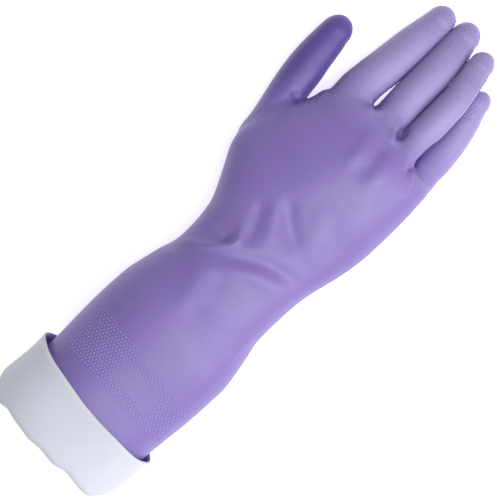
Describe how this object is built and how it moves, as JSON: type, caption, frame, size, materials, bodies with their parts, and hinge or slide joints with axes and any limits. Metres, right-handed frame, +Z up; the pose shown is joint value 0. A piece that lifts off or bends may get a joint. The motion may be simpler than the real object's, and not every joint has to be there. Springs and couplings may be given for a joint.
{
  "type": "rubber glove",
  "caption": "Right-hand household rubber glove with a long gauntlet, flock lining, turned-back cuff and jointed fingers.",
  "frame": {"origin": "on the surface that the glove lies on, under the middle of its outline", "axes": "+Y to the fingertips, +Z up off the back of the hand, +X to the little finger"},
  "size_m": [0.1103, 0.338, 0.0641],
  "materials": {
    "rubber": "lilac household rubber, satin, with moulded grip dots",
    "flock": "white cotton flock nap, matte"
  },
  "bodies": {
    "gauntlet": {"cuff_shell": "rubber", "cuff_lining": "flock", "gauntlet_shell": "rubber", "gauntlet_lining": "flock"},
    "hand": {"wrist_shell": "rubber", "wrist_lining": "flock", "palm_shell": "rubber", "palm_lining": "flock", "thumb_base_shell": "rubber", "thumb_base_lining": "flock", "knuckles_shell": "rubber", "knuckles_lining": "flock", "index_socket_shell": "rubber", "index_socket_lining": "flock", "middle_socket_shell": "rubber", "middle_socket_lining": "flock", "ring_socket_shell": "rubber", "ring_socket_lining": "flock", "little_socket_shell": "rubber", "little_socket_lining": "flock"},
    "index_root": {"index_root_shell": "rubber", "index_root_lining": "flock"},
    "index_mid": {"index_mid_shell": "rubber", "index_mid_lining": "flock"},
    "index_tip": {"index_tip_shell": "rubber", "index_tip_lining": "flock"},
    "middle_root": {"middle_root_shell": "rubber", "middle_root_lining": "flock"},
    "middle_mid": {"middle_mid_shell": "rubber", "middle_mid_lining": "flock"},
    "middle_tip": {"middle_tip_shell": "rubber", "middle_tip_lining": "flock"},
    "ring_root": {"ring_root_shell": "rubber", "ring_root_lining": "flock"},
    "ring_mid": {"ring_mid_shell": "rubber", "ring_mid_lining": "flock"},
    "ring_tip": {"ring_tip_shell": "rubber", "ring_tip_lining": "flock"},
    "little_root": {"little_root_shell": "rubber", "little_root_lining": "flock"},
    "little_mid": {"little_mid_shell": "rubber", "little_mid_lining": "flock"},
    "little_tip": {"little_tip_shell": "rubber", "little_tip_lining": "flock"},
    "thumb_root": {"thumb_root_shell": "rubber", "thumb_root_lining": "flock"},
    "thumb_tip": {"thumb_tip_shell": "rubber", "thumb_tip_lining": "flock"}
  },
  "joints": [
    {"name": "wrist_bend", "type": "hinge", "parent": "gauntlet", "child": "hand", "pos_m": [0.0095, -0.022, 0.027], "axis": [-1, 0, 0], "range_deg": [-30, 35], "stiffness_Nm_per_rad": 0.5},
    {"name": "index_root_curl", "type": "hinge", "parent": "hand", "child": "index_root", "pos_m": [-0.014, 0.1, 0.005], "axis": [-1, 0, 0], "range_deg": [0, 70], "stiffness_Nm_per_rad": 0.03},
    {"name": "index_mid_curl", "type": "hinge", "parent": "index_root", "child": "index_mid", "pos_m": [-0.0128, 0.119, 0.0046], "axis": [-1, 0, 0], "range_deg": [0, 90], "stiffness_Nm_per_rad": 0.03},
    {"name": "index_tip_curl", "type": "hinge", "parent": "index_mid", "child": "index_tip", "pos_m": [-0.011, 0.142, 0.0027], "axis": [-1, 0, 0], "range_deg": [0, 60], "stiffness_Nm_per_rad": 0.03},
    {"name": "middle_root_curl", "type": "hinge", "parent": "hand", "child": "middle_root", "pos_m": [0.01, 0.1, 0.0065], "axis": [-1, 0, 0], "range_deg": [0, 70], "stiffness_Nm_per_rad": 0.03},
    {"name": "middle_mid_curl", "type": "hinge", "parent": "middle_root", "child": "middle_mid", "pos_m": [0.0096, 0.121, 0.0061], "axis": [-1, 0, 0], "range_deg": [0, 90], "stiffness_Nm_per_rad": 0.03},
    {"name": "middle_tip_curl", "type": "hinge", "parent": "middle_mid", "child": "middle_tip", "pos_m": [0.0088, 0.146, 0.0032], "axis": [-1, 0, 0], "range_deg": [0, 60], "stiffness_Nm_per_rad": 0.03},
    {"name": "ring_root_curl", "type": "hinge", "parent": "hand", "child": "ring_root", "pos_m": [0.0292, 0.095, 0.01], "axis": [-1, 0, 0], "range_deg": [0, 70], "stiffness_Nm_per_rad": 0.03},
    {"name": "ring_mid_curl", "type": "hinge", "parent": "ring_root", "child": "ring_mid", "pos_m": [0.0294, 0.114, 0.0109], "axis": [-1, 0, 0], "range_deg": [0, 90], "stiffness_Nm_per_rad": 0.03},
    {"name": "ring_tip_curl", "type": "hinge", "parent": "ring_mid", "child": "ring_tip", "pos_m": [0.0286, 0.139, 0.0102], "axis": [-1, 0, 0], "range_deg": [0, 60], "stiffness_Nm_per_rad": 0.03},
    {"name": "little_root_curl", "type": "hinge", "parent": "hand", "child": "little_root", "pos_m": [0.046, 0.089, 0.0036], "axis": [-1, 0, 0], "range_deg": [0, 70], "stiffness_Nm_per_rad": 0.03},
    {"name": "little_mid_curl", "type": "hinge", "parent": "little_root", "child": "little_mid", "pos_m": [0.046, 0.105, 0.0016], "axis": [-1, 0, 0], "range_deg": [0, 90], "stiffness_Nm_per_rad": 0.03},
    {"name": "little_tip_curl", "type": "hinge", "parent": "little_mid", "child": "little_tip", "pos_m": [0.0444, 0.126, 0.001], "axis": [-1, 0, 0], "range_deg": [0, 60], "stiffness_Nm_per_rad": 0.03},
    {"name": "thumb_root_curl", "type": "hinge", "parent": "hand", "child": "thumb_root", "pos_m": [-0.0412, 0.058, 0.0012], "axis": [-0.9781, 0, -0.2079], "range_deg": [0, 45], "stiffness_Nm_per_rad": 0.04},
    {"name": "thumb_tip_curl", "type": "hinge", "parent": "thumb_root", "child": "thumb_tip", "pos_m": [-0.045, 0.091, 0.0017], "axis": [-0.9781, 0, -0.2079], "range_deg": [0, 75], "stiffness_Nm_per_rad": 0.04}
  ]
}
